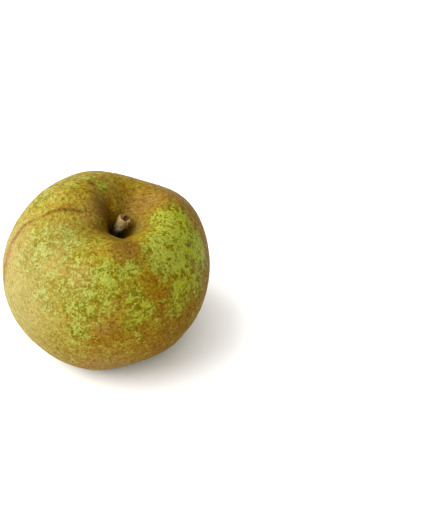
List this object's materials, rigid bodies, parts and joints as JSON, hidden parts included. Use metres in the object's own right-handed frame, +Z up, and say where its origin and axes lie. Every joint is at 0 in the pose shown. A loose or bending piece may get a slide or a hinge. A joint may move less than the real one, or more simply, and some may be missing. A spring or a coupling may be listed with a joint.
{
  "type": "reinette apple",
  "caption": "Whole squat russet apple with a low ribbed crown, a tight stalk cavity, a short knobbed stalk and a dried eye, resting on its crown.",
  "frame": {"origin": "the middle of the apple's footprint on the surface that it rests on: z = 0 is the level of the flat feet under the crown's lobes", "axes": "+Z up, from the crown that it stands on towards the stalk; -Y is the side that the stalk leans to, the front; +X is on the right of someone who looks at the front"},
  "size_m": [0.0752, 0.0782, 0.066],
  "materials": {
    "russet_skin": "dry russet skin, golden tan to olive brown, with yellow-green patches, specks and pale dots, soft and nearly matte",
    "stalk_bark": "grey-brown bark, rough, with a pale rim round a dark scar",
    "dried_eye": "dried sepals, dark brown, matte"
  },
  "bodies": {
    "root": {"fruit": "russet_skin", "stalk": "stalk_bark", "eye": "dried_eye"}
  },
  "joints": []
}
